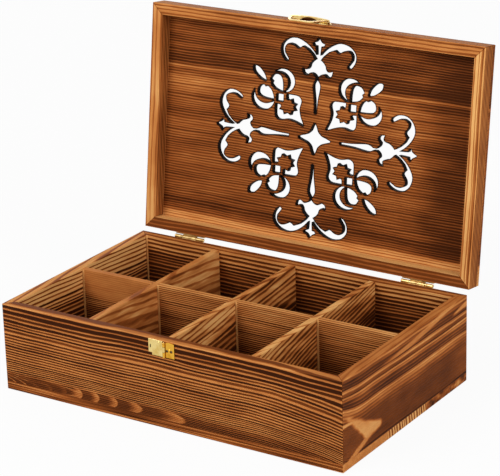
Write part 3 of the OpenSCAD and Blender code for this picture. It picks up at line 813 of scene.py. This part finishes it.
def polished_metal(name, bright, dull, roughness, painted_reflection=None):
    """Tumbled metal with a faint haze, fine scratches, grime in its corners and, where given, a painted
    reflection.
    """
    material, f = new_finish(name)
    x, y, z = f.xyz(f.node("ShaderNodeTexCoord", {}, {}, "Object"))
    haze = f.noise(x * HAZE_PER_METRE, y * HAZE_PER_METRE, z * HAZE_PER_METRE)
    scratch = f.noise(x * SCRATCHES_PER_METRE, y * SCRATCHES_PER_METRE, z * SCRATCH_LENGTHS_PER_METRE)
    open_air = f.node("ShaderNodeAmbientOcclusion", {"samples": 8}, {"Distance": GRIME_REACH}, "AO")
    color = f.mix(f.rise(haze, 0.35, 0.75), tone(*bright), tone(*dull))
    color = f.mix(f.fall(open_air, 0.35, 0.9) * 0.6, color, GRIME)
    # The dish's floor gets a painted reflection of the dark wood
    if painted_reflection:
        color = f.mix(painted_reflection(f), color, DISH_PAINTED_REFLECTION)
    finish_with(f, {
        "Base Color": color,
        "Metallic": 1.0,
        "Roughness": haze * 0.1 + scratch * 0.06 + roughness,
        "Normal": f.bump(haze * 0.7 + scratch * 0.3, 0.00003, 0.4),
    })
    return material


print("grime is", [round(c, 3) for c in GRIME])

# %% The fittings
brass = polished_metal("polished_brass", (240, 206, 128), (214, 168, 84), 0.14)
hasp_brass = polished_metal("hasp_brass", (246, 220, 150), (216, 172, 90), 0.14, dish_floor)
flap_brass = polished_metal("pale_flap_brass", (232, 206, 134), (214, 180, 100), 0.2)
# The catch plate gets a deeper gold than the other brass: a painted reflection of the darker surroundings it
# mirrors
plate_brass = polished_metal("deep_plate_brass_painted_reflection", (226, 172, 62), (206, 146, 40), 0.12)
# The hinges get a darker brass: painted shade for the shaded gap behind the lid where they sit
hinge_brass = polished_metal("dull_hinge_brass_painted_shade", (206, 176, 118), (150, 116, 68), 0.24)
steel = polished_metal("dark_steel", (84, 70, 54), (52, 42, 32), 0.35)
METALS = {"hinge": hinge_brass, "catch": brass, "catch_flap": flap_brass, "catch_plate": plate_brass,
          "catch_nails": steel, "hasp": hasp_brass, "hasp_nails": brass}
fittings = [name for name in nodes if name.startswith(("hinge_", "catch_", "hasp"))]
for name in fittings:
    dress(name, METALS.get(name, METALS[name.split("_")[0]]))
print(len(fittings), "fittings dressed")

# %% [markdown]
# ## Floor and background
# The box stands on a plain white floor in front of a white background. More light would make
# them white too, but it would bleach the wood. So the floor and the background look nearly
# white by themselves to the camera and to reflections, and to every other ray they are plain
# paper and soft daylight. A small share of real paper keeps the box's shadow on the floor.

# %% The floor
WHITE = (1.0, 1.0, 1.0, 1.0)
PAPER = (0.8, 0.8, 0.8, 1.0)
FLOOR_SIZE = 6.0
GLOW_SHARE = 0.94


def is_looked_at(f):
    """1 for rays that come from the camera, from a reflection or through glass."""
    camera = f.node("ShaderNodeLightPath", {}, {}, "Is Camera Ray")
    return camera.at_least(camera.output("Is Glossy Ray")).at_least(camera.output("Is Transmission Ray"))


mesh = bpy.data.meshes.new("floor")
sheet = bmesh.new()
bmesh.ops.create_grid(sheet, x_segments=1, y_segments=1, size=FLOOR_SIZE)
sheet.to_mesh(mesh)
sheet.free()
floor = bpy.data.objects.new("floor", mesh)
bpy.context.scene.collection.objects.link(floor)
white_paper, f = new_finish("white_paper")
matte = f.node("ShaderNodeBsdfDiffuse", {}, {"Color": PAPER})
glow = f.node("ShaderNodeEmission", {}, {"Color": WHITE, "Strength": 1.0})
surface = f.node("ShaderNodeMixShader", {}, {0: is_looked_at(f) * GLOW_SHARE, 1: matte, 2: glow})
f.node("ShaderNodeOutputMaterial", {}, {"Surface": surface})
mesh.materials.append(white_paper)
print("floor is", round(floor.dimensions.x, 1), "m wide")

# %% The background
DAYLIGHT = 0.33
world = bpy.data.worlds.new("soft_studio")
bpy.context.scene.world = world
world.use_nodes = True
f = Recipe(world.node_tree)
daylight = f.node("ShaderNodeBackground", {}, {"Color": WHITE, "Strength": DAYLIGHT})
backdrop = f.node("ShaderNodeBackground", {}, {"Color": WHITE, "Strength": 1.0})
surface = f.node("ShaderNodeMixShader", {}, {0: is_looked_at(f), 1: daylight, 2: backdrop})
f.node("ShaderNodeOutputWorld", {}, {"Surface": surface})
print("daylight strength is", DAYLIGHT)

# %% [markdown]
# ## Lamps and camera
# One large lamp stands in front on the left, a weaker one on the right models the right wall,
# and a faint one behind separates the rims from each other. Large lamps give the soft shadows
# of a light tent. The camera looks down on the front right corner through a long lens, which
# keeps the box's edges nearly parallel.

# %% The lamps
AIM = Vector((0.0, 0.0, 0.1))


def soft_lamp(name, place, size, power):
    """A square lamp that faces the box."""
    light = bpy.data.lights.new(name, "AREA")
    light.shape = "SQUARE"
    light.size = size
    light.energy = power
    lamp = bpy.data.objects.new(name, light)
    lamp.location = place
    lamp.rotation_euler = (AIM - lamp.location).to_track_quat("-Z", "Y").to_euler()
    bpy.context.scene.collection.objects.link(lamp)
    return lamp


lamps = [soft_lamp("front_left", (-0.7, -1.7, 1.5), 1.2, 32.0),
         soft_lamp("right", (1.9, -0.5, 1.0), 1.0, 21.0),
         soft_lamp("rear", (-1.2, 1.9, 1.0), 1.2, 8.0)]
print(len(lamps), "lamps,", sum(lamp.data.energy for lamp in lamps), "W in all")

# %% The camera
CAMERA_PLACE = Vector((0.96624, -1.43930, 0.76666))
CAMERA_YAW = math.radians(33.38)
CAMERA_PITCH = math.radians(20.13)
CAMERA_ROLL = math.radians(-1.68)
eye = bpy.data.cameras.new("eye")
eye.sensor_fit = "HORIZONTAL"
eye.sensor_width = 36.0
eye.lens = 161.27
camera = bpy.data.objects.new("camera", eye)
upright = Matrix.Rotation(CAMERA_YAW, 4, "Z") @ Matrix.Rotation(math.radians(90.0) - CAMERA_PITCH, 4, "X")
camera.matrix_world = Matrix.Translation(CAMERA_PLACE) @ upright @ Matrix.Rotation(CAMERA_ROLL, 4, "Z")
bpy.context.scene.collection.objects.link(camera)
bpy.context.scene.camera = camera
bpy.context.scene.view_settings.view_transform = "Standard"
print("camera is", round(CAMERA_PLACE.length, 2), "m from the box")

# %% [markdown]
